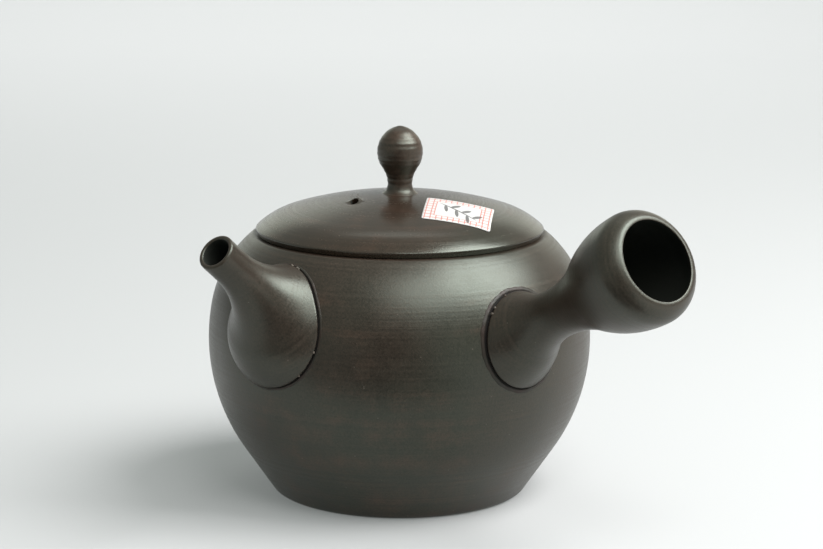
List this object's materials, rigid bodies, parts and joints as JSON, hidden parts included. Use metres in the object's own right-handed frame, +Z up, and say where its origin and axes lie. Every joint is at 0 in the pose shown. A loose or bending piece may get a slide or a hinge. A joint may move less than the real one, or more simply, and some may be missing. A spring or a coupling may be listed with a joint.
{
  "type": "side-handled teapot",
  "caption": "Round stoneware teapot with a short luted spout, a hollow flared side handle, a pierced strainer behind the spout and a lift-off domed lid with a knob.",
  "frame": {"origin": "centre of the flat base, on the surface the pot stands on", "axes": "+Z up along the pot's turning axis, +X along the handle; the spout points 80 degrees clockwise from the handle as seen from above, close to -Y"},
  "size_m": [0.165, 0.1305, 0.1053],
  "materials": {
    "stoneware": "unglazed dark grey-brown stoneware, burnished to a low sheen",
    "slip": "fired luting slip, matt",
    "paper": "matt white printed paper"
  },
  "bodies": {
    "pot": {"pot_body": "stoneware", "spout": "stoneware", "handle": "stoneware", "spout_strainer": "stoneware", "spout_slip": "slip", "handle_slip": "slip"},
    "lid": {"lid": "stoneware", "lid_knob": "stoneware", "paper_label": "paper"}
  },
  "joints": [
    {"name": "lid_lift", "type": "slide", "parent": "pot", "child": "lid", "axis": [0, 0, 1], "range_m": [0, 0.06]}
  ]
}
